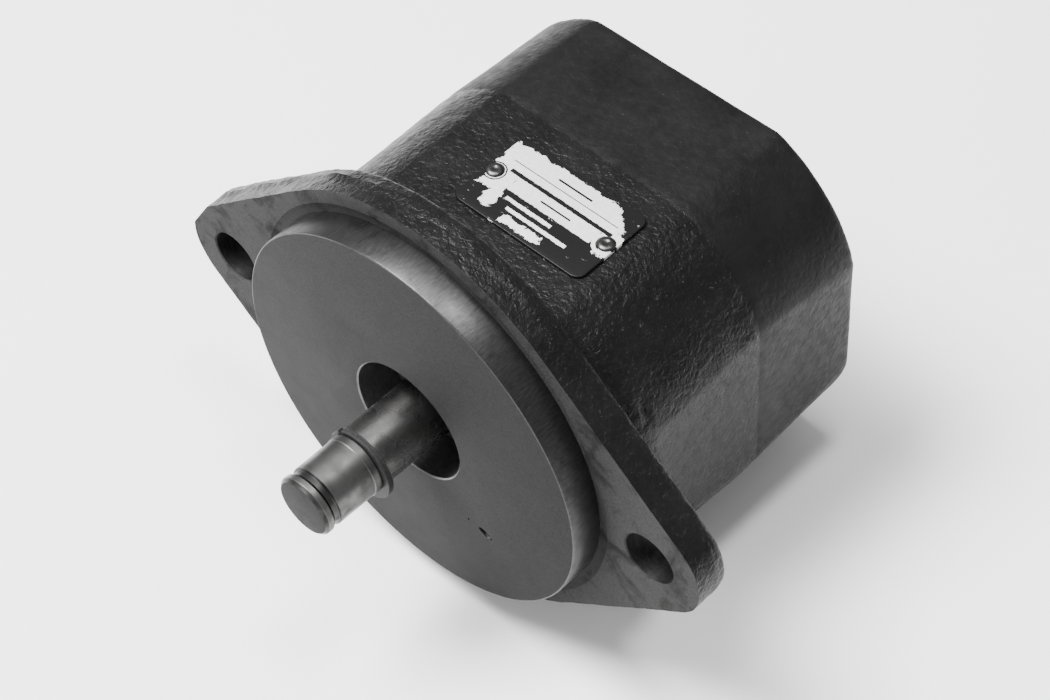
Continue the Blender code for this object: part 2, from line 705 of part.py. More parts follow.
def build():
    clear_scene()
    paint = make_material("black_paint", (0.03, 0.03, 0.03), 0.45, 0.0)
    steel = make_material("ground_steel", (0.55, 0.55, 0.56), 0.25, 1.0)
    dark_steel = make_material("blackened_steel", (0.08, 0.08, 0.085), 0.4, 1.0)
    bronze = make_material("bronze", (0.55, 0.38, 0.2), 0.4, 1.0)
    rubber = make_material("rubber", (0.02, 0.02, 0.02), 0.7, 0.0)
    aluminium = make_material("nameplate_metal", (0.7, 0.7, 0.7), 0.4, 1.0)

    body = front_body(paint)
    machine_front_body(body)
    cut(body, plate_seal_groove())
    rear_cover(paint)

    drive_gear_shaft(steel)
    shaft_key(steel)
    shaft_retaining_ring(dark_steel)
    idler_gear_shaft(steel)
    for name, z in gear_shafts():
        journal_bush("front_" + name + "_bush", FRONT_BUSH_START, z, bronze)
        journal_bush("rear_" + name + "_bush", REAR_BUSH_START, z, bronze)
    wear_plate("front_wear_plate", CHAMBER_FLOOR + GAP, bronze)
    wear_plate("rear_wear_plate", REAR_PLATE_START, bronze)
    plate_seal(rubber)

    shaft_seal_case(dark_steel)
    shaft_seal_lip(rubber)
    seal_garter_spring(steel)
    cover_seal_ring(rubber)

    for name, x, z in sides():
        cover_bolt(name, x, z, dark_steel)
    for name, side in (("dowel_pin_left", -1), ("dowel_pin_right", 1)):
        dowel_pin(name, side * DOWEL_X, steel)

    nameplate(aluminium)
    for name, side in (("nameplate_rivet_left", -1), ("nameplate_rivet_right", 1)):
        nameplate_rivet(name, side, steel)


build()
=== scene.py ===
"""Hydraulic gear pump: detailed castings, shaft, nameplate and fasteners on the CAD frame."""
import math

import bmesh
import bpy
import numpy as np
from mathutils import Matrix, Vector, noise


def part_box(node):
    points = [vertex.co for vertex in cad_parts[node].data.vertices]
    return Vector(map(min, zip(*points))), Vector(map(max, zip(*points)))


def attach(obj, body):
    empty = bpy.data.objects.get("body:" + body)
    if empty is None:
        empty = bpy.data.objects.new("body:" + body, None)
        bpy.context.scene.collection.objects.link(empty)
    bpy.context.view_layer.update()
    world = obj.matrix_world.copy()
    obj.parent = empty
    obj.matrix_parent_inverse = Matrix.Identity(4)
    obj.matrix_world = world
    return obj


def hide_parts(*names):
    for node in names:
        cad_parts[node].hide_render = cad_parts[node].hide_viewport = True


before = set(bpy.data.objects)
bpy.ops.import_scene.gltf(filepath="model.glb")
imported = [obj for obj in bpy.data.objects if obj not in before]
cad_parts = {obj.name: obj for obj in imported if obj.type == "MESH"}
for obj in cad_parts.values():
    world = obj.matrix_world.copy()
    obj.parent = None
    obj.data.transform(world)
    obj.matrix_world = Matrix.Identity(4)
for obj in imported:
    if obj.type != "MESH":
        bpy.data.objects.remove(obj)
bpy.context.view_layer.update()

MM = 0.001

# Stations and reference points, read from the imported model.
front_low, front_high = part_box("front_body")
plate_low, plate_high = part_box("nameplate")
bush_low, bush_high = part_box("front_drive_bush")
idler_low, idler_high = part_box("idler_gear_shaft")
seal_low, seal_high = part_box("shaft_seal_case")
PILOT_FACE = front_low.y
SEAM = front_high.y
REAR_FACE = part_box("rear_cover")[1].y
REAR_BUSH_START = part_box("rear_drive_bush")[0].y
SHAFT_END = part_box("drive_gear_shaft")[1].y
TOP_Z = plate_low.z - 0.3 * MM
FLANGE_FACE = PILOT_FACE + 6.35 * MM
FLANGE_BACK = FLANGE_FACE + 7.6 * MM
NECK_END = FLANGE_FACE + 16.3 * MM
IDLER_Z = (idler_low.z + idler_high.z) / 2
MESH_Z = IDLER_Z / 2
EAR_X = 53.2 * MM
SPLIT = SEAM + 0.15 * MM
SHAFTS_Z = (0.0, IDLER_Z)

# Sections, as in the CAD model: half width, half height, half top flat, half side flat.
HOUSING_X = -0.8 * MM
HOUSING_Z = -6.4 * MM
FRONT_SECTION = (41.4 * MM, 37.3 * MM, 21.5 * MM, 15.5 * MM)
SEAM_SECTION = (41.4 * MM, 37.3 * MM, 22.5 * MM, 18.0 * MM)
REAR_SECTION = (41.5 * MM, 36.5 * MM, 22.9 * MM, 14.5 * MM)
CORNER_ARC = 32.0 * MM
NECK_RADIUS = 43.2 * MM
PILOT_RADIUS = 41.275 * MM
FLANGE_RADIUS = 46.3 * MM
EAR_RADIUS = 11.6 * MM
HOLE_RADIUS = 5.55 * MM
BORE_RADIUS = 13.0 * MM
BUSH_BORE = 8.3 * MM
DOWEL_BORE = 3.3 * MM
BOLT_BORE = 4.3 * MM
CHAMBER_RADIUS = 10.95 * MM
DOWEL_X = 34.5 * MM
BOLT_X = 23.5 * MM
BOLT_Z = 23.0 * MM
RIVET_BORE = 1.2 * MM

# How far a cutter runs past the face it opens, and the grain of the voxel remesh.
PAST = 1.0 * MM
VOXEL = 0.75 * MM

# Marks left by the foundry: a lump with a nick beside it, and the ground-off corner of the left ear.
LUMP = Vector((40.0 * MM, FLANGE_FACE + 13.8 * MM, 15.7 * MM))
NICK = LUMP + Vector((0.0, 1.6 * MM, -1.2 * MM))
GROUND = Vector((-0.838, 0.545))
GROUND_REACH = 10.6 * MM


# ---------------------------------------------------------------- shapes

def arc(radius, start, end, segments, x=0.0, z=0.0):
    step = (end - start) / segments
    return [(x + radius * math.cos(start + step * i), z + radius * math.sin(start + step * i))
            for i in range(segments + 1)]


def circle(radius, x=0.0, z=0.0, segments=96):
    return arc(radius, 0.0, 2 * math.pi, segments, x, z)[:-1]


def arc_between(first, last, radius, segments):
    run = (last[0] - first[0], last[1] - first[1])
    chord = math.hypot(*run)
    depth = math.sqrt(radius ** 2 - (chord / 2) ** 2)
    centre_x = (first[0] + last[0]) / 2 - run[1] / chord * depth
    centre_z = (first[1] + last[1]) / 2 + run[0] / chord * depth
    start = math.atan2(first[1] - centre_z, first[0] - centre_x)
    return arc(radius, start, start + 2 * math.asin(chord / 2 / radius), segments, centre_x, centre_z)


def housing_outline(section, segments=16):
    """Eight-sided outline with four flats and four curved corners, as (x, z) points."""
    width, height, top, side = section
    x, z = HOUSING_X, HOUSING_Z
    corners = (((x + width, z + side), (x + top, z + height)),
               ((x - top, z + height), (x - width, z + side)),
               ((x - width, z - side), (x - top, z - height)),
               ((x + top, z - height), (x + width, z - side)))
    points = []
    for first, last in corners:
        points += arc_between(first, last, CORNER_ARC, segments)
    return points


def neck_outline(segments=48):
    top = math.asin(37.2 * MM / NECK_RADIUS)
    points = arc(NECK_RADIUS, -top, top, segments, 0.0, HOUSING_Z)
    return points + arc(NECK_RADIUS, math.pi - top, math.pi + top, segments, 0.0, HOUSING_Z)


def flange_outline(segments=16):
    tilt = math.acos((FLANGE_RADIUS - EAR_RADIUS) / EAR_X)
    points = arc(EAR_RADIUS, -tilt, tilt, segments, EAR_X)
    points += arc(FLANGE_RADIUS, tilt, math.pi - tilt, 2 * segments)
    points += arc(EAR_RADIUS, math.pi - tilt, math.pi + tilt, segments, -EAR_X)
    return points + arc(FLANGE_RADIUS, math.pi + tilt, 2 * math.pi - tilt, 2 * segments)


def figure_eight(radius, segments=48):
    dip = math.asin(-MESH_Z / radius)
    points = arc(radius, -dip, math.pi + dip, segments)[:-1]
    return points + arc(radius, math.pi - dip, 2 * math.pi + dip, segments, 0.0, IDLER_Z)[:-1]


def gear_outline(turn, teeth=10, module=1.8 * MM, pressure_angle=math.radians(28.0), backlash=0.12 * MM):
    def involute(angle):
        return math.tan(angle) - angle
    pitch = module * teeth / 2
    base = pitch * math.cos(pressure_angle)
    tip = module * (teeth + 2) / 2
    root = module * (teeth - 2.5) / 2
    half = math.pi / (2 * teeth) - backlash / (2 * pitch) + involute(pressure_angle)
    flank = [(root, half)]
    for step in range(9):
        radius = base + (tip - base) * step / 8
        flank.append((radius, half - involute(math.acos(min(1.0, base / radius)))))
    points = []
    for tooth in range(teeth):
        middle = turn + tooth * 2 * math.pi / teeth
        sides = [(r, middle - a) for r, a in flank] + [(r, middle + a) for r, a in reversed(flank)]
        points += [(r * math.cos(a), r * math.sin(a)) for r, a in sides]
    return points


def along_y(sections):
    """Turn (y, [(x, z), ...]) sections into layers of 3-D points."""
    return [[(x, y, z) for x, z in outline] for y, outline in sections]


def add_skin(bm, layers, ring=False):
    """Join layers of points into a closed skin, with end caps unless the layers form a ring."""
    rings = [[bm.verts.new(point) for point in layer] for layer in layers]
    pairs = list(zip(rings, rings[1:]))
    if ring:
        pairs.append((rings[-1], rings[0]))
    for near, far in pairs:
        count = len(near)
        for i in range(count):
            j = (i + 1) % count
            bm.faces.new((near[i], near[j], far[j], far[i]))
    if not ring:
        bm.faces.new(rings[0])
        bm.faces.new(rings[-1])
    bmesh.ops.recalc_face_normals(bm, faces=bm.faces)


def make_object(name, bm):
    mesh = bpy.data.meshes.new(name)
    bm.to_mesh(mesh)
    bm.free()
    piece = bpy.data.objects.new(name, mesh)
    bpy.context.scene.collection.objects.link(piece)
    return piece


def stack(name, layers, ring=False):
    bm = bmesh.new()
    add_skin(bm, layers, ring)
    return make_object(name, bm)


def loft(name, sections, ring=False):
    return stack(name, along_y(sections), ring)


def prism(name, outline, start, end):
    return loft(name, [(start, outline), (end, outline)])


def turned(name, profile, x=0.0, z=0.0, segments=96, ring=False):
    return loft(name, [(y, circle(radius, x, z, segments)) for radius, y in profile], ring)


def remove(piece):
    bpy.data.objects.remove(piece, do_unlink=True)


def apply_modifiers(piece):
    depsgraph = bpy.context.evaluated_depsgraph_get()
    mesh = bpy.data.meshes.new_from_object(piece.evaluated_get(depsgraph))
    mesh.materials.clear()
    piece.modifiers.clear()
    piece.data = mesh


def combine(target, tools, operation, solver="MANIFOLD"):
    """Boolean each tool into the target, apply the result and delete the tools."""
    for tool in tools:
        modifier = target.modifiers.new("combine", "BOOLEAN")
        modifier.operation = operation
        modifier.solver = solver
        modifier.object = tool
    apply_modifiers(target)
    for tool in tools:
        remove(tool)
    return target


def smooth_shade(piece, angle=32.0):
    piece.data.shade_smooth()
    piece.data.set_sharp_from_angle(angle=math.radians(angle))


def finish_piece(piece, body, slot, materials, *nodes):
    for material in materials:
        piece.data.materials.append(material)
    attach(piece, body)
    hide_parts(*nodes)
    return piece


# ---------------------------------------------------------------- materials

def new_material(name):
    material = bpy.data.materials.new(name)
    material.use_nodes = True
    return material, material.node_tree, material.node_tree.nodes["Principled BSDF"]


def node(tree, kind, **settings):
    item = tree.nodes.new(kind)
    for key, value in settings.items():
        setattr(item, key, value)
    return item


def coordinates(tree, scale=(1.0, 1.0, 1.0)):
    """Object coordinates in millimetres, stretched by scale."""
    source = node(tree, "ShaderNodeTexCoord")
    mapping = node(tree, "ShaderNodeMapping")
    mapping.inputs["Scale"].default_value = [1000.0 * value for value in scale]
    tree.links.new(source.outputs["Object"], mapping.inputs["Vector"])
    return mapping.outputs["Vector"]


def noise_at(tree, vector, frequency, detail=4.0, roughness=0.55, distortion=0.0):
    """Noise with its cells 1/frequency mm across."""
    item = node(tree, "ShaderNodeTexNoise")
    item.inputs["Scale"].default_value = frequency
    item.inputs["Detail"].default_value = detail
    item.inputs["Roughness"].default_value = roughness
    item.inputs["Distortion"].default_value = distortion
    tree.links.new(vector, item.inputs["Vector"])
    return item.outputs["Fac"]


def remap(tree, value, low, high, to_low, to_high):
    item = node(tree, "ShaderNodeMapRange", clamp=True)
    item.inputs["From Min"].default_value = low
    item.inputs["From Max"].default_value = high
    item.inputs["To Min"].default_value = to_low
    item.inputs["To Max"].default_value = to_high
    tree.links.new(value, item.inputs["Value"])
    return item.outputs["Result"]


def maths(tree, operation, first, second=None):
    item = node(tree, "ShaderNodeMath", operation=operation)
    for index, value in enumerate((first, second)):
        if value is None:
            continue
        if isinstance(value, (int, float)):
            item.inputs[index].default_value = value
        else:
            tree.links.new(value, item.inputs[index])
    return item.outputs["Value"]


def mix_colour(tree, factor, first, second):
    item = node(tree, "ShaderNodeMix", data_type="RGBA")
    tree.links.new(factor, item.inputs["Factor"])
    for socket, value in ((item.inputs[6], first), (item.inputs[7], second)):
        if isinstance(value, tuple):
            socket.default_value = (*value, 1.0)
        else:
            tree.links.new(value, socket)
    return item.outputs[2]


def grey(level, warmth=0.0):
    return (level * (1 + warmth), level, level * (1 - warmth))


def add_bump(tree, shader, layers):
    """Stack bump layers, each (height socket, strength, depth in mm)."""
    normal = None
    for height, strength, depth in layers:
        item = node(tree, "ShaderNodeBump")
        item.inputs["Strength"].default_value = strength
        item.inputs["Distance"].default_value = depth * MM
        tree.links.new(height, item.inputs["Height"])
        if normal is not None:
            tree.links.new(normal, item.inputs["Normal"])
        normal = item.outputs["Normal"]
    tree.links.new(normal, shader.inputs["Normal"])


def axis_values(tree, vector):
    item = node(tree, "ShaderNodeSeparateXYZ")
    tree.links.new(vector, item.inputs["Vector"])
    return item.outputs["X"], item.outputs["Y"], item.outputs["Z"]


def paint_material(name, grain, dust_and_glints, shine):
    """Black enamel over a cast skin: grain is the bump depth, the third argument the share of pale specks,
    partly dust and partly painted glints of light.
    """
    material, tree, shader = new_material(name)
    vector = coordinates(tree)
    broad = noise_at(tree, vector, 0.09, 4.0)
    medium = noise_at(tree, vector, 0.55, 5.0, 0.6)
    lumps = noise_at(tree, vector, 0.95, 2.0, 0.5, 0.5)
    fine = noise_at(tree, vector, 2.6, 3.0, 0.55)
    tone = mix_colour(tree, remap(tree, broad, 0.35, 0.7, 0.0, 1.0), grey(0.004), grey(0.007))
    # Pale specks in the base colour: partly dust, partly painted glints standing in for light caught on the
    # bumps.
    chips = remap(tree, noise_at(tree, vector, 2.3, 2.0, 0.5), 0.7 - dust_and_glints, 0.78 - dust_and_glints, 0.0, 0.7)
    patches = remap(tree, medium, 0.45, 0.65, 0.0, 1.0)
    tone = mix_colour(tree, maths(tree, "MULTIPLY", chips, patches), tone, grey(0.06, 0.02))
    tree.links.new(tone, shader.inputs["Base Color"])
    tree.links.new(remap(tree, medium, 0.3, 0.75, shine - 0.08, shine + 0.16), shader.inputs["Roughness"])
    shader.inputs["Specular IOR Level"].default_value = 0.12
    add_bump(tree, shader, ((medium, 0.5, grain), (lumps, 0.9, 1.3 * grain), (fine, 0.6, 0.3 * grain)))
    return material


def machined_material(name, low, high, rough, stain, stretch=(1.0, 1.0, 1.0), rings=0.0, metal=0.85):
    """Machined grey iron or steel: fine grain, faint tool rings about the shaft axis and stains."""
    material, tree, shader = new_material(name)
    vector = coordinates(tree)
    grain = noise_at(tree, coordinates(tree, stretch), 3.2, 4.0, 0.7)
    cloud = noise_at(tree, vector, 0.16, 6.0, 0.62, 0.6)
    tone = mix_colour(tree, remap(tree, grain, 0.3, 0.7, 0.0, 1.0), grey(low), grey(high))
    if stain:
        mask = remap(tree, cloud, 0.5, 0.68, 0.0, stain)
        tone = mix_colour(tree, mask, tone, grey(low * 0.35, 0.03))
    tree.links.new(tone, shader.inputs["Base Color"])
    shader.inputs["Metallic"].default_value = metal
    shader.inputs["Specular IOR Level"].default_value = 0.5 if metal > 0.5 else 0.03
    spread = 0.1 if metal > 0.5 else 0.03
    tree.links.new(remap(tree, cloud, 0.3, 0.7, rough - spread, rough + spread), shader.inputs["Roughness"])
    layers = [(grain, 0.35, 0.03)]
    if rings:
        x, _, z = axis_values(tree, vector)
        radius = maths(tree, "SQRT", maths(tree, "ADD", maths(tree, "MULTIPLY", x, x),
                                           maths(tree, "MULTIPLY", z, z)))
        wave = maths(tree, "SINE", maths(tree, "MULTIPLY", radius, rings))
        layers.append((wave, 0.25, 0.01))
    add_bump(tree, shader, layers)
    return material


def plain_steel(name, low, high, rough, along=0.15):
    """Ground shaft steel with fine lines round the axis and dull oily patches."""
    material, tree, shader = new_material(name)
    lines = noise_at(tree, coordinates(tree, (0.02, 1.0, 0.02)), 4.0, 3.0, 0.6)
    blotch = noise_at(tree, coordinates(tree), 0.3, 2.0, 0.5)
    specks = noise_at(tree, coordinates(tree), 2.6, 4.0, 0.7)
    tone = mix_colour(tree, remap(tree, blotch, 0.38, 0.66, 0.0, 1.0), grey(high, 0.01), grey(low, 0.015))
    tone = mix_colour(tree, remap(tree, specks, 0.58, 0.78, 0.0, 0.5), tone, grey(low * 0.6))
    tree.links.new(tone, shader.inputs["Base Color"])
    shader.inputs["Metallic"].default_value = 1.0
    tree.links.new(remap(tree, blotch, 0.35, 0.7, rough - 0.03, rough + 0.1), shader.inputs["Roughness"])
    add_bump(tree, shader, ((lines, along, 0.012), (specks, 0.12, 0.01)))
    return material


def soft_material(name, tone, rough, metallic, frequency=0.8, depth=0.05):
    """Rubber, bronze and other simple finishes with clouded tone and a fine grain."""
    material, tree, shader = new_material(name)
    vector = coordinates(tree)
    cloud = noise_at(tree, vector, frequency, 5.0, 0.6)
    fine = noise_at(tree, vector, frequency * 5, 3.0, 0.6)
    dark = tuple(value * 0.62 for value in tone)
    colour = mix_colour(tree, remap(tree, cloud, 0.35, 0.68, 0.0, 1.0), tone, dark)
    tree.links.new(colour, shader.inputs["Base Color"])
    shader.inputs["Metallic"].default_value = metallic
    tree.links.new(remap(tree, fine, 0.3, 0.7, rough - 0.06, rough + 0.08), shader.inputs["Roughness"])
    add_bump(tree, shader, ((fine, 0.4, depth),))
    return material


def inside(tree, value, low, high):
    above = maths(tree, "GREATER_THAN", value, low)
    below = maths(tree, "LESS_THAN", value, high)
    return maths(tree, "MULTIPLY", above, below)


def nameplate_material(centre):
    """Printed plate: pale metal with a worn black border, black panel, bars and hairlines, no lettering."""
    material, tree, shader = new_material("nameplate_print")
    vector = coordinates(tree)
    x, y, _ = axis_values(tree, vector)
    u = maths(tree, "SUBTRACT", x, centre[0] / MM)
    v = maths(tree, "SUBTRACT", y, centre[1] / MM)
    ragged = maths(tree, "SUBTRACT", noise_at(tree, vector, 0.55, 6.0, 0.7), 0.5)
    chips = maths(tree, "SUBTRACT", noise_at(tree, vector, 1.6, 4.0, 0.6), 0.5)
    u_rough = maths(tree, "ADD", u, maths(tree, "MULTIPLY", ragged, 4.5))
    v_rough = maths(tree, "ADD", v, maths(tree, "MULTIPLY", ragged, 3.5))
    v_chip = maths(tree, "ADD", v, maths(tree, "MULTIPLY", chips, 0.5))
    rivet_reach = 13.6

    def box(across, along, left, right, low, high):
        return maths(tree, "MULTIPLY", inside(tree, across, left, right), inside(tree, along, low, high))

    def ring(place, low, high):
        across = maths(tree, "SUBTRACT", u, place)
        squares = maths(tree, "ADD", maths(tree, "MULTIPLY", across, across),
                        maths(tree, "MULTIPLY", v_chip, v_chip))
        return inside(tree, maths(tree, "SQRT", squares), low, high)

    def cover(first, *others):
        for other in others:
            first = maths(tree, "MAXIMUM", first, other)
        return first

    # Where the print has worn off down to the metal, in millimetres from the plate's middle.
    corner = maths(tree, "ADD", u_rough, maths(tree, "MULTIPLY", v_rough, 0.9))
    field = maths(tree, "MULTIPLY", box(u_rough, v_rough, -15.4, 15.0, 1.2, 8.3),
                  maths(tree, "LESS_THAN", corner, 17.4))
    bare = cover(
        field,
        box(u_rough, v_rough, -14.4, -8.9, -3.9, 1.6),
        box(u_rough, v_rough, -11.4, -8.3, -7.2, -3.0),
        box(u_rough, v_rough, -4.8, 4.2, -8.4, -6.5),
        box(u_rough, v_rough, 12.8, 15.4, -2.9, 1.6),
        box(u, v_chip, -8.9, 11.0, -1.85, 1.6),
        ring(rivet_reach, 2.0, 2.75),
        box(u, v_chip, -7.6, 3.4, -3.9, -3.1),
        box(u, v_chip, -5.8, 8.6, -5.7, -4.9))
    ink = cover(
        box(u, v_chip, -11.5, 13.0, 1.6, 2.5),
        box(u, v, -12.6, 12.6, 4.1, 4.3),
        box(u, v, -3.4, 4.8, 5.7, 6.15),
        box(u, v, -2.2, 5.0, -0.3, 0.1),
        ring(-rivet_reach, 2.0, 2.3))
    scratches = noise_at(tree, coordinates(tree, (0.5, 1.0, 1.0)), 1.1, 5.0, 0.7)
    clear = maths(tree, "SUBTRACT", 1.0, ink)
    bare = cover(maths(tree, "MULTIPLY", bare, clear), remap(tree, scratches, 0.66, 0.7, 0.0, 0.8))
    metal_tone = mix_colour(tree, remap(tree, chips, -0.2, 0.2, 0.0, 1.0), grey(0.56), grey(0.7))
    colour = mix_colour(tree, bare, grey(0.006), metal_tone)
    shader.inputs["Specular IOR Level"].default_value = 0.12
    tree.links.new(colour, shader.inputs["Base Color"])
    tree.links.new(maths(tree, "MULTIPLY", bare, 0.35), shader.inputs["Metallic"])
    tree.links.new(remap(tree, bare, 0.0, 1.0, 0.34, 0.5), shader.inputs["Roughness"])
    relief = maths(tree, "SUBTRACT", chips, bare)
    add_bump(tree, shader, ((relief, 0.5, 0.05), (noise_at(tree, vector, 4.0, 3.0), 0.25, 0.03)))
    return material


def floor_material():
    material, tree, shader = new_material("floor_sheet")
    cloud = noise_at(tree, coordinates(tree), 0.02, 3.0)
    tree.links.new(mix_colour(tree, cloud, grey(0.9), grey(0.92)), shader.inputs["Base Color"])
    shader.inputs["Roughness"].default_value = 0.9
    return material


# ---------------------------------------------------------------- castings

def ridge_height(x, y, z):
    """Extra height along the parting line on the flange's edge, strongest on the upper left."""
    wander = 0.9 * MM * noise.noise(Vector((x / 0.009, 3.1, z / 0.009)))
    middle = FLANGE_FACE + 4.6 * MM + wander
    width = 0.75 * MM
    strength = 0.18 * MM
    if x < 0.0 < z:
        strength += 0.5 * MM * max(0.0, noise.noise(Vector((x / 0.006, 7.7, z / 0.012))) + 0.35)
    return strength * bell(y - middle, width)


def cast_skin():
    """One rounded, uneven skin over the flange, neck, body and cover, as the castings left the sand."""
    over = 3.0 * MM
    bm = bmesh.new()
    for sections in (
            ((FLANGE_FACE - over, flange_outline()), (FLANGE_BACK, flange_outline())),
            ((FLANGE_BACK - over, neck_outline()), (NECK_END, neck_outline())),
            ((NECK_END - over, housing_outline(FRONT_SECTION)), (SEAM, housing_outline(SEAM_SECTION)),
             (REAR_FACE, housing_outline(REAR_SECTION)))):
        add_skin(bm, along_y(sections))
    skin = make_object("cast_skin", bm)
    remesh = skin.modifiers.new("remesh", "REMESH")
    remesh.mode = "VOXEL"
    remesh.voxel_size = VOXEL
    smooth = skin.modifiers.new("smooth", "SMOOTH")
    smooth.factor = 0.5
    smooth.iterations = 11
    apply_modifiers(skin)
    roughen(skin)
    return skin


def bell(distance, width):
    return math.exp(-(distance / width) ** 2)


def skin_height(point, normal):
    """How far the cast surface stands out at a point: waves, grain, seam groove, ridge, lump and nick."""
    x, y, z = point
    front = y < SEAM
    height = 0.16 * MM * noise.noise(point / 0.013)
    height += (0.10 if front else 0.04) * MM * noise.noise(point / 0.0042)
    if front:
        height += 0.08 * MM * noise.noise(point / 0.002)
    if (point - LUMP).length < 6 * MM:
        height += 0.55 * MM * bell((point - LUMP).length, 1.5 * MM)
        height -= 0.7 * MM * bell(y - NICK.y, 0.6 * MM) * bell(z - NICK.z, 2.0 * MM)
    height -= 0.16 * MM * bell(y - SPLIT, 0.7 * MM)
    rim = y < FLANGE_BACK and abs(normal.y) < 0.6
    if rim and x * x + z * z > (NECK_RADIUS * 0.98) ** 2:
        height += ridge_height(x, y, z)
    return height


def grind_left_ear(point):
    """Push a point on the left ear back to the plane of the ground-off corner."""
    if point.y < FLANGE_BACK + 2 * MM and point.x < -EAR_X:
        beyond = (point.x + EAR_X) * GROUND.x + point.z * GROUND.y - GROUND_REACH
        if beyond > 0:
            point.x -= GROUND.x * beyond
            point.z -= GROUND.y * beyond


def roughen(skin):
    """Move every vertex along its normal by the cast surface's height."""
    mesh = skin.data
    count = len(mesh.vertices)
    points = np.empty(count * 3)
    normals = np.empty(count * 3, np.float32)
    mesh.vertices.foreach_get("co", points)
    mesh.vertex_normals.foreach_get("vector", normals)
    points = points.reshape(-1, 3)
    normals = normals.reshape(-1, 3)
    for index in range(count):
        point = Vector(points[index])
        normal = Vector(normals[index])
        point += normal * skin_height(point, normal)
        grind_left_ear(point)
        points[index] = point
    mesh.vertices.foreach_set("co", points.ravel())
    mesh.update()


def trim(piece, y, keep_front):
    """Keep the part of a closed mesh in front of or behind the plane at y, and cap the cut."""
    bm = bmesh.new()
    bm.from_mesh(piece.data)
    geometry = bm.verts[:] + bm.edges[:] + bm.faces[:]
    cut = bmesh.ops.bisect_plane(bm, geom=geometry, plane_co=(0, y, 0), plane_no=(0, 1, 0),
                                 clear_outer=keep_front, clear_inner=not keep_front)
    edges = [item for item in cut["geom_cut"] if isinstance(item, bmesh.types.BMEdge)]
    bmesh.ops.edgeloop_fill(bm, edges=edges)
    bmesh.ops.recalc_face_normals(bm, faces=bm.faces)
    bm.to_mesh(piece.data)
    bm.free()


def hole(radius, start, end, x=0.0, z=0.0, chamfer=0.0, segments=64):
    """A cutter for a round hole whose mouth is at start, widened there by a chamfer."""
    direction = 1.0 if end > start else -1.0
    outside = start - direction * PAST
    profile = [(radius, outside), (radius, end)]
    if chamfer:
        profile[0] = (radius, start + direction * chamfer)
        profile.insert(0, (radius + chamfer + PAST, outside))
    return turned("cutter", profile, x, z, segments)


def bolt_places():
    places = []
    for side, x_side in (("left", -1), ("right", 1)):
        for level, z_side in (("upper", 1), ("lower", -1)):
            places.append((level + "_" + side, x_side * BOLT_X, HOUSING_Z + z_side * BOLT_Z))
    return places


def pilot_boss():
    """The turned pilot with its broken front edge."""
    chamfer = 0.3 * MM
    return turned("pilot", [
        (PILOT_RADIUS - chamfer, PILOT_FACE),
        (PILOT_RADIUS - chamfer * 0.35, PILOT_FACE + chamfer * 0.35),
        (PILOT_RADIUS, PILOT_FACE + chamfer),
        (PILOT_RADIUS, FLANGE_FACE + 2 * MM)], segments=256)


def root_relief():
    """Undercut ring in the flange face round the pilot, with a sloping outer wall."""
    return turned("relief", [
        (PILOT_RADIUS - 1 * MM, FLANGE_FACE - 1 * MM),
        (PILOT_RADIUS + 2.6 * MM, FLANGE_FACE - 1 * MM),
        (PILOT_RADIUS + 2.1 * MM, FLANGE_FACE + 0.05 * MM),
        (PILOT_RADIUS + 1.2 * MM, FLANGE_FACE + 0.35 * MM),
        (PILOT_RADIUS - 1 * MM, FLANGE_FACE + 0.45 * MM)], segments=256, ring=True)


def pit(centre, size, turn=0.0):
    """A stretched ball that cuts a small blowhole."""
    bm = bmesh.new()
    bmesh.ops.create_icosphere(bm, subdivisions=3, radius=1.0)
    for vertex in bm.verts:
        lump = 1.0 + 0.25 * noise.noise(vertex.co * 1.7 + Vector(centre) * 900)
        vertex.co = Vector((vertex.co.x * size[0], vertex.co.y * size[1], vertex.co.z * size[2])) * lump
    bmesh.ops.rotate(bm, verts=bm.verts, matrix=Matrix.Rotation(turn, 3, "Y"))
    bmesh.ops.translate(bm, verts=bm.verts, vec=centre)
    return make_object("pit", bm)


def front_tools():
    """Cutters for every machined hole and chamber of the front casting."""
    floor = bush_high.y + 0.2 * MM
    tools = [hole(BORE_RADIUS, PILOT_FACE, seal_high.y + 0.4 * MM, chamfer=0.25 * MM, segments=128),
             hole(6.85 * MM, seal_high.y - 1 * MM, bush_low.y + 1 * MM)]
    for side in (-1, 1):
        tools.append(hole(HOLE_RADIUS, FLANGE_FACE, FLANGE_BACK + 9 * MM, side * EAR_X, 0.0, 0.25 * MM))
        tools.append(hole(5.0 * MM, SEAM + PAST, floor + 0.4 * MM, side * 11.0 * MM, MESH_Z))
        tools.append(hole(DOWEL_BORE, SEAM + PAST, SEAM - 6.3 * MM, side * DOWEL_X, HOUSING_Z))
    for z in SHAFTS_Z:
        tools.append(hole(BUSH_BORE, SEAM + PAST, bush_low.y - 0.3 * MM, 0.0, z))
    tools.append(prism("cutter", figure_eight(CHAMBER_RADIUS), floor, SEAM + PAST))
    for name, x, z in bolt_places():
        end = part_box("cover_bolt_" + name)[0].y - 2 * MM
        tools.append(hole(BOLT_BORE, SEAM + PAST, end, x, z, segments=32))
    return tools


def rivet_cutters():
    """Two upright holes in the top of the housing, below the nameplate rivets."""
    cutters = []
    for side in ("left", "right"):
        low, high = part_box("nameplate_rivet_" + side)
        bm = bmesh.new()
        bmesh.ops.create_cone(bm, cap_ends=True, segments=24, depth=8 * MM,
                              radius1=RIVET_BORE, radius2=RIVET_BORE)
        bmesh.ops.translate(bm, verts=bm.verts, vec=((low.x + high.x) / 2, (low.y + high.y) / 2, TOP_Z))
        cutters.append(make_object("cutter", bm))
    return cutters


def assign_faces(piece, choose):
    """Set each face's material index by choose(centre, normal)."""
    for face in piece.data.polygons:
        face.material_index = choose(face.center, face.normal)


def copy_skin(skin, name):
    piece = skin.copy()
    piece.data = skin.data.copy()
    piece.name = name
    bpy.context.scene.collection.objects.link(piece)
    return piece


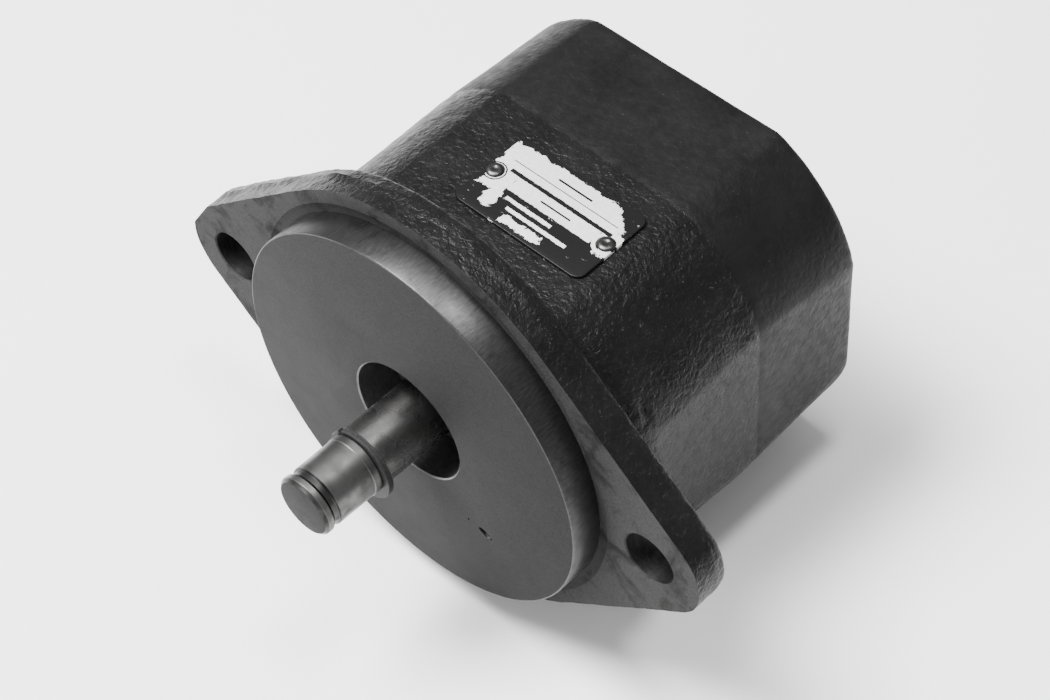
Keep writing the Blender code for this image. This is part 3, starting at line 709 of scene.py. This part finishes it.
def front_casting(skin):
    """The front casting: flange, turned pilot, seal bore and gear chamber."""
    piece = copy_skin(skin, "front_casting")
    trim(piece, SPLIT, True)
    trim(piece, FLANGE_FACE, False)
    combine(piece, [root_relief()], "DIFFERENCE")
    combine(piece, [pilot_boss()], "UNION")
    blowholes = [
        pit((18.3 * MM, PILOT_FACE, -17.8 * MM), (1.7 * MM, 0.9 * MM, 0.75 * MM), math.radians(20)),
        pit((14.1 * MM, PILOT_FACE, -17.1 * MM), (0.28 * MM, 0.4 * MM, 0.26 * MM))]
    combine(piece, front_tools() + rivet_cutters() + blowholes, "DIFFERENCE")
    smooth_shade(piece)
    enamel, pilot, pilot_edge, bore, flange, flange_hole_shade = range(6)

    def choose(centre, normal):
        radius = math.hypot(centre.x, centre.z)
        ear = math.hypot(abs(centre.x) - EAR_X, centre.z)
        faces_front = normal.y < -0.3
        if centre.y < PILOT_FACE + 0.01 * MM and faces_front:
            return pilot
        if abs(centre.y - FLANGE_FACE) < 0.6 * MM and faces_front:
            return flange
        if centre.y < FLANGE_FACE - 0.1 * MM and radius > 30 * MM:
            return pilot_edge
        # Walls of the flange bolt holes get a darker iron: painted shade inside the holes.
        if ear < HOLE_RADIUS + 0.3 * MM and not faces_front:
            return flange_hole_shade
        if BORE_RADIUS + 1 * MM < radius < 30 * MM and centre.y < FLANGE_FACE:
            return enamel
        return bore if radius < 30 * MM else enamel
    assign_faces(piece, choose)
    materials = [
        paint_material("front_enamel", 0.26, 0.05, 0.32),
        machined_material("pilot_face_iron", 0.014, 0.027, 0.55, 0.03, rings=14.0, metal=0.0),
        machined_material("pilot_edge_iron", 0.022, 0.045, 0.36, 0.5, (1.0, 0.15, 1.0)),
        machined_material("bore_iron", 0.07, 0.13, 0.4, 0.4, (0.2, 1.0, 0.2)),
        machined_material("flange_face_iron", 0.017, 0.04, 0.55, 0.85, rings=5.0, metal=0.0),
        # The last iron is darker than the other bores as painted shade inside the flange bolt holes, with
        # stains.
        machined_material("flange_hole_painted_shade", 0.02, 0.05, 0.45, 0.6, (0.2, 1.0, 0.2))]
    return finish_piece(piece, "housing", "casting", materials, "front_body")


def rear_casting(skin):
    """The cover casting, with its ports, bush bores, seal groove and bolt counterbores."""
    piece = copy_skin(skin, "rear_casting")
    trim(piece, SPLIT + 0.01 * MM, False)
    start = SPLIT - PAST
    tools = []
    for z in SHAFTS_Z:
        tools.append(hole(BUSH_BORE, start, REAR_BUSH_START + 12.7 * MM, 0.0, z))
    for side in (-1, 1):
        tools.append(hole(8.0 * MM, REAR_FACE, REAR_FACE - 14 * MM, side * 17 * MM, MESH_Z, 1.1 * MM))
        tools.append(hole(4.0 * MM, start, REAR_FACE - 12 * MM, side * 13 * MM, MESH_Z))
        tools.append(hole(DOWEL_BORE, start, SEAM + 6.3 * MM, side * DOWEL_X, HOUSING_Z, segments=32))
    for name, x, z in bolt_places():
        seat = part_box("cover_bolt_" + name)[1].y - 8.3 * MM
        tools.append(hole(BOLT_BORE, start, REAR_FACE, x, z, segments=32))
        tools.append(hole(6.8 * MM, REAR_FACE, seat, x, z, 0.3 * MM))
    groove_floor = SEAM + 2.5 * MM
    outer = [(y, racetrack(20.2 * MM)) for y in (start, groove_floor)]
    inner = [(y, racetrack(17.8 * MM)) for y in (groove_floor, start)]
    tools.append(loft("cutter", outer + inner, ring=True))
    combine(piece, tools, "DIFFERENCE")
    smooth_shade(piece)
    enamel, rear_face, port = range(3)

    def choose(centre, normal):
        in_middle = abs(centre.x) < 31 * MM and abs(centre.z - HOUSING_Z) < 30.5 * MM
        if abs(normal.y) < 0.9 and in_middle:
            return port
        return rear_face if normal.y > 0.95 and centre.y > REAR_FACE - 0.6 * MM else enamel
    assign_faces(piece, choose)
    materials = [paint_material("cover_enamel", 0.1, 0.0, 0.42),
                 paint_material("rear_face_enamel", 0.04, 0.02, 0.36),
                 machined_material("port_iron", 0.1, 0.2, 0.4, 0.4, (0.2, 1.0, 0.2))]
    return finish_piece(piece, "housing", "casting", materials, "rear_cover")


def racetrack(radius, segments=32):
    """Two half circles round the two shaft axes, joined by straight sides."""
    points = arc(radius, 0.0, math.pi, segments)
    return points + arc(radius, math.pi, 2 * math.pi, segments, 0.0, IDLER_Z)


# ---------------------------------------------------------------- shaft, seal, fasteners

def drive_shaft():
    """Drive shaft with a grooved, chamfered end, ring groove, worn seal track, journals and gear."""
    end = SHAFT_END
    profile = [
        (5.45 * MM, 0.0), (5.68 * MM, 0.05 * MM),
        (6.22 * MM, 0.6 * MM), (6.3 * MM, 0.75 * MM), (6.3 * MM, 1.75 * MM), (6.2 * MM, 1.95 * MM),
        (5.85 * MM, 2.2 * MM), (5.72 * MM, 2.4 * MM), (5.72 * MM, 3.35 * MM), (5.85 * MM, 3.5 * MM),
        (6.12 * MM, 3.55 * MM), (6.25 * MM, 3.7 * MM), (6.25 * MM, 11.95 * MM), (6.35 * MM, 12.12 * MM),
        (6.35 * MM, 13.5 * MM), (6.27 * MM, 13.6 * MM), (5.75 * MM, 13.62 * MM), (5.75 * MM, 15.18 * MM),
        (6.27 * MM, 15.2 * MM), (6.35 * MM, 15.3 * MM), (6.35 * MM, seal_low.y + 3.4 * MM),
        (6.33 * MM, seal_low.y + 3.6 * MM), (6.33 * MM, seal_low.y + 4.4 * MM),
        (6.35 * MM, seal_low.y + 4.6 * MM), (6.35 * MM, end - 0.6 * MM), (5.75 * MM, end)]
    piece = turned("drive_shaft", profile, segments=160)
    gear = prism("gear", gear_outline(math.pi / 2), *gear_span())
    combine(piece, [gear], "UNION", "EXACT")
    low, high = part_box("shaft_key")
    middle = (low + high) / 2
    play = 0.1 * MM
    outline = rounded_slot(high.x - low.x + play, high.y - low.y + play)
    heights = (high.z + play / 2, low.z - 6 * MM)
    keyway = stack("cutter", [[(px, middle.y + py, z) for px, py in outline] for z in heights])
    combine(piece, [keyway], "DIFFERENCE", "EXACT")
    smooth_shade(piece, 22.0)

    def choose(centre, normal):
        radius = math.hypot(centre.x, centre.z)
        if centre.y < 0.2 * MM and normal.y < -0.9:
            return 1
        if radius < 6.2 * MM and centre.y < 16 * MM:
            return 2
        return 3 if centre.y < 13 * MM else 0
    assign_faces(piece, choose)
    materials = [plain_steel("shaft_ground_steel", 0.13, 0.28, 0.26, 0.3),
                 machined_material("shaft_end_steel", 0.008, 0.028, 0.45, 0.5, rings=9.0, metal=0.0),
                 plain_steel("groove_steel", 0.02, 0.06, 0.36),
                 plain_steel("shaft_end_dull_steel", 0.07, 0.14, 0.36)]
    return finish_piece(piece, "drive_shaft", "ground_steel", materials, "drive_gear_shaft")


def gear_span():
    """Where the gears start and end, between the wear plates."""
    front_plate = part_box("front_wear_plate")[1].y
    rear_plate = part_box("rear_wear_plate")[0].y
    return front_plate + 0.3 * MM, rear_plate - 0.3 * MM


def rounded_rectangle(width, length, corner, segments):
    points = []
    for turn, (side_x, side_y) in enumerate(((1, 1), (-1, 1), (-1, -1), (1, -1))):
        start = turn * math.pi / 2
        points += arc(corner, start, start + math.pi / 2, segments, side_x * (width / 2 - corner),
                      side_y * (length / 2 - corner))
    return points


def rounded_slot(width, length):
    return rounded_rectangle(width, length, width / 2 * 0.98, 8)


def key_piece(steel):
    """Round-ended key with a small chamfer round its lower face."""
    low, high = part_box("shaft_key")
    middle = (low + high) / 2
    outline = rounded_slot(high.x - low.x, high.y - low.y)
    inset = 0.2 * MM
    small = 1 - inset / (high.x - low.x) * 2
    layers = [[(px * shrink, middle.y + py * shrink, z) for px, py in outline]
              for z, shrink in ((high.z, 1.0), (low.z + inset, 1.0), (low.z, small))]
    piece = stack("key_steel", layers)
    smooth_shade(piece)
    return finish_piece(piece, "drive_shaft", "ground_steel", [steel], "shaft_key")


def retaining_ring(dark):
    """Flat split ring with a fine groove round its edge, like the two turns of a spiral ring."""
    low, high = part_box("shaft_retaining_ring")
    width = high.y - low.y
    outer, inner = 7.5 * MM, 5.9 * MM
    offset = (0.35 * MM, -0.45 * MM)
    middle = math.atan2(-offset[1], -offset[0])
    start_angle, end_angle = middle + math.radians(5), middle + 2 * math.pi - math.radians(5)
    groove = 0.09 * MM
    stations = (
        (low.y, 0.12), (low.y + 0.12 * MM, 0.0), (low.y + width * 0.46, 0.0),
        (low.y + width * 0.5, 1.0), (low.y + width * 0.54, 0.0),
        (high.y - 0.12 * MM, 0.0), (high.y, 0.12))
    sections = []
    for y, pinch in stations:
        reach = outer - pinch * groove if pinch == 1.0 else outer - pinch * 0.6 * MM
        outline = arc(reach, start_angle, end_angle, 120, *offset)
        sections.append((y, outline + arc(inner, end_angle, start_angle, 120)))
    piece = loft("shaft_ring", sections)
    smooth_shade(piece, 25.0)
    return finish_piece(piece, "drive_shaft", "dark_steel", [dark], "shaft_retaining_ring")


def seal_pieces(dark, rubber):
    """Lip seal as seen in the bore: pressed case with a rolled edge, rubber lip with a dust lip."""
    start, end = seal_low.y, seal_high.y
    outer = seal_high.x
    wall = 0.8 * MM
    case = turned("seal_case", [
        (9.6 * MM, start + 0.12 * MM), (9.75 * MM, start), (11.9 * MM, start),
        (12.35 * MM, start + 0.12 * MM), (outer, start + 0.5 * MM), (outer, end),
        (outer - wall, end), (outer - wall, start + wall), (9.6 * MM, start + wall)],
        segments=128, ring=True)
    smooth_shade(case, 40.0)
    finish_piece(case, "housing", "dark_steel", [dark], "shaft_seal_case")
    edge = 6.43 * MM
    lip = turned("seal_lip", [
        (6.5 * MM, start + 0.35 * MM), (7.0 * MM, start + 0.05 * MM), (7.5 * MM, start + 0.3 * MM),
        (8.2 * MM, start + 0.35 * MM), (8.9 * MM, start + 0.02 * MM), (9.3 * MM, start + 0.1 * MM),
        (9.3 * MM, start + 1.4 * MM), (8.1 * MM, start + 1.8 * MM), (7.6 * MM, start + 3.2 * MM),
        (7.6 * MM, start + 4.4 * MM), (8.0 * MM, start + 5.2 * MM), (7.4 * MM, start + 5.4 * MM),
        (edge, start + 4.1 * MM), (edge, start + 3.9 * MM), (7.1 * MM, start + 1.6 * MM)],
        segments=128, ring=True)
    smooth_shade(lip, 40.0)
    finish_piece(lip, "housing", "rubber", [rubber], "shaft_seal_lip")


def bolt_piece(name, x, z, dark):
    """Socket-head screw with a knurled head, rounded edges and a hexagon socket."""
    low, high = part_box("cover_bolt_" + name)
    head, shank = 6.45 * MM, 4.0 * MM
    seat = high.y - 8.0 * MM
    facets = 72

    def ring(radius, y, depth):
        points = []
        for i in range(facets * 2):
            angle = math.pi * i / facets
            reach = radius - (depth if i % 2 else 0.0)
            points.append((x + reach * math.cos(angle), z + reach * math.sin(angle)))
        return y, points
    knurl = 0.16 * MM
    piece = loft("socket_screw_" + name, [
        ring(shank - 0.8 * MM, low.y, 0), ring(shank, low.y + 0.8 * MM, 0), ring(shank, seat, 0),
        ring(head - 0.3 * MM, seat, 0), ring(head, seat + 0.3 * MM, knurl),
        ring(head, high.y - 1.3 * MM, knurl), ring(head - 0.15 * MM, high.y - 0.9 * MM, 0),
        ring(head - 0.35 * MM, high.y - 0.35 * MM, 0), ring(head - 0.8 * MM, high.y, 0)])
    corner = 6.0 * MM / math.sqrt(3)
    turn = 0.4 + 0.7 * x / 0.0235 + 0.3 * z / 0.03
    hexagon = arc(corner, turn, turn + 2 * math.pi, 6, x, z)[:-1]
    wide = [(x + (px - x) * 1.16, z + (pz - z) * 1.16) for px, pz in hexagon]
    socket = loft("cutter", [
        (high.y - 4 * MM, hexagon), (high.y - 0.35 * MM, hexagon), (high.y + 0.2 * MM, wide)])
    combine(piece, [socket], "DIFFERENCE", "EXACT")
    smooth_shade(piece, 30.0)
    return finish_piece(piece, "housing", "dark_steel", [dark], "cover_bolt_" + name)


def nameplate_piece():
    """Thin pressed plate with rounded corners and softened upper edges."""
    centre = (plate_low + plate_high) / 2
    size = plate_high - plate_low
    outline = rounded_rectangle(size.x, size.y, 2.0 * MM, 10)
    lift = 0.28 * MM
    stations = (
        (-lift, 0.0), (size.z - 0.12 * MM, 0.0), (size.z - 0.03 * MM, 0.05 * MM), (size.z, 0.16 * MM))
    layers = []
    for height, inset in stations:
        scale_x, scale_y = 1 - 2 * inset / size.x, 1 - 2 * inset / size.y
        layers.append([(centre.x + px * scale_x, centre.y + py * scale_y, plate_low.z + height)
                       for px, py in outline])
    piece = stack("plate", layers)
    smooth_shade(piece, 50.0)
    return finish_piece(piece, "housing", "plate_metal", [nameplate_material(centre)], "nameplate")


def rivet_piece(side, metal):
    """Drive-screw rivet: a low, slightly uneven dome with a dimple in its middle."""
    low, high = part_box("nameplate_rivet_" + side)
    x, y = (low.x + high.x) / 2, (low.y + high.y) / 2
    base = plate_high.z
    profile = [(0.9 * MM, base - 3.4 * MM), (0.9 * MM, base - 0.02 * MM), (1.72 * MM, base - 0.02 * MM),
               (1.78 * MM, base + 0.12 * MM), (1.62 * MM, base + 0.36 * MM), (1.3 * MM, base + 0.52 * MM),
               (0.9 * MM, base + 0.6 * MM), (0.62 * MM, base + 0.56 * MM), (0.4 * MM, base + 0.44 * MM),
               (0.12 * MM, base + 0.4 * MM)]
    piece = stack("rivet_" + side, [[(px, py, z) for px, py in circle(radius, x, y, 40)]
                                    for radius, z in profile])
    for vertex in piece.data.vertices:
        if vertex.co.z > base + 0.1 * MM:
            vertex.co.z += 0.05 * MM * noise.noise(vertex.co / 0.0006)
    smooth_shade(piece, 50.0)
    return finish_piece(piece, "housing", "rivet_steel", [metal], "nameplate_rivet_" + side)


def dress_inner_nodes(steel, bronze, rubber):
    """Better materials for the CAD nodes that stay: bushes, wear plates, seals, pins and the idler."""
    looks = {"front_drive_bush": bronze, "front_idler_bush": bronze, "rear_drive_bush": bronze,
             "rear_idler_bush": bronze, "front_wear_plate": bronze, "rear_wear_plate": bronze,
             "wear_plate_seal": rubber, "cover_seal_ring": rubber, "seal_garter_spring": steel,
             "dowel_pin_left": steel, "dowel_pin_right": steel, "idler_gear_shaft": steel}
    for name, material in looks.items():
        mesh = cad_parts[name].data
        mesh.materials.clear()
        mesh.materials.append(material)


# ---------------------------------------------------------------- stage

CAMERA_AZIMUTH = math.radians(46.72)
CAMERA_ELEVATION = math.radians(50.14)
CAMERA_ROLL = math.radians(-4.0)
CAMERA_DISTANCE = 0.4784
CAMERA_TARGET = Vector((25.6 * MM, FLANGE_FACE, 35.0 * MM))
CAMERA_LENS = 97.06


def add_camera():
    """Camera placed round the flange by its azimuth, elevation, roll and distance."""
    az, el, roll = CAMERA_AZIMUTH, CAMERA_ELEVATION, CAMERA_ROLL
    back = Vector((math.sin(az) * math.cos(el), -math.cos(az) * math.cos(el), math.sin(el)))
    right = Vector((math.cos(az), math.sin(az), 0.0))
    up = back.cross(right)
    across = right * math.cos(roll) + up * math.sin(roll)
    upward = up * math.cos(roll) - right * math.sin(roll)
    data = bpy.data.cameras.new("camera")
    data.lens = CAMERA_LENS
    data.sensor_width = 36.0
    data.clip_start = 0.01
    camera = bpy.data.objects.new("camera", data)
    matrix = Matrix((across, upward, back)).transposed().to_4x4()
    matrix.translation = CAMERA_TARGET + back * CAMERA_DISTANCE
    camera.matrix_world = matrix
    bpy.context.scene.collection.objects.link(camera)
    bpy.context.scene.camera = camera


def add_light(name, place, target, size, watts):
    data = bpy.data.lights.new(name, "AREA")
    data.shape = "RECTANGLE"
    data.size, data.size_y = size
    data.energy = watts
    light = bpy.data.objects.new(name, data)
    light.location = place
    light.rotation_euler = (Vector(target) - Vector(place)).to_track_quat("-Z", "Y").to_euler()
    bpy.context.scene.collection.objects.link(light)


def add_stage():
    """Floor, studio background and three area lights."""
    bm = bmesh.new()
    bmesh.ops.create_grid(bm, x_segments=8, y_segments=8, size=3.0)
    floor = make_object("floor", bm)
    floor.location.z = front_low.z - 0.1 * MM
    floor.data.materials.append(floor_material())
    world = bpy.data.worlds.new("studio")
    world.use_nodes = True
    background = world.node_tree.nodes["Background"]
    background.inputs["Color"].default_value = (1.0, 1.0, 1.0, 1.0)
    background.inputs["Strength"].default_value = 0.55
    bpy.context.scene.world = world
    centre = (0.0, 0.05, 0.0)
    add_light("key", (-0.31, -0.2, 0.86), centre, (0.42, 0.42), 36.0)
    add_light("streak", (0.09, 0.09, 0.7), (0.0, 0.02, 0.0), (0.12, 0.12), 3.0)
    add_light("front", (-0.3, -0.9, 0.4), centre, (0.5, 0.4), 5.0)


def build():
    """Make every detailed piece, then the camera and the stage."""
    steel = plain_steel("inner_steel", 0.3, 0.45, 0.28)
    dark = machined_material("blackened_steel", 0.014, 0.04, 0.36, 0.3, metal=0.2)
    rubber = soft_material("black_rubber", grey(0.018), 0.62, 0.0)
    bronze = soft_material("bearing_bronze", (0.42, 0.27, 0.13), 0.36, 1.0)
    rivet_metal = plain_steel("rivet_metal", 0.02, 0.07, 0.36)
    skin = cast_skin()
    front_casting(skin)
    rear_casting(skin)
    remove(skin)
    drive_shaft()
    key_piece(steel)
    retaining_ring(dark)
    seal_pieces(dark, rubber)
    for name, x, z in bolt_places():
        bolt_piece(name, x, z, dark)
    nameplate_piece()
    for side in ("left", "right"):
        rivet_piece(side, rivet_metal)
    dress_inner_nodes(steel, bronze, rubber)
    add_camera()
    add_stage()


build()
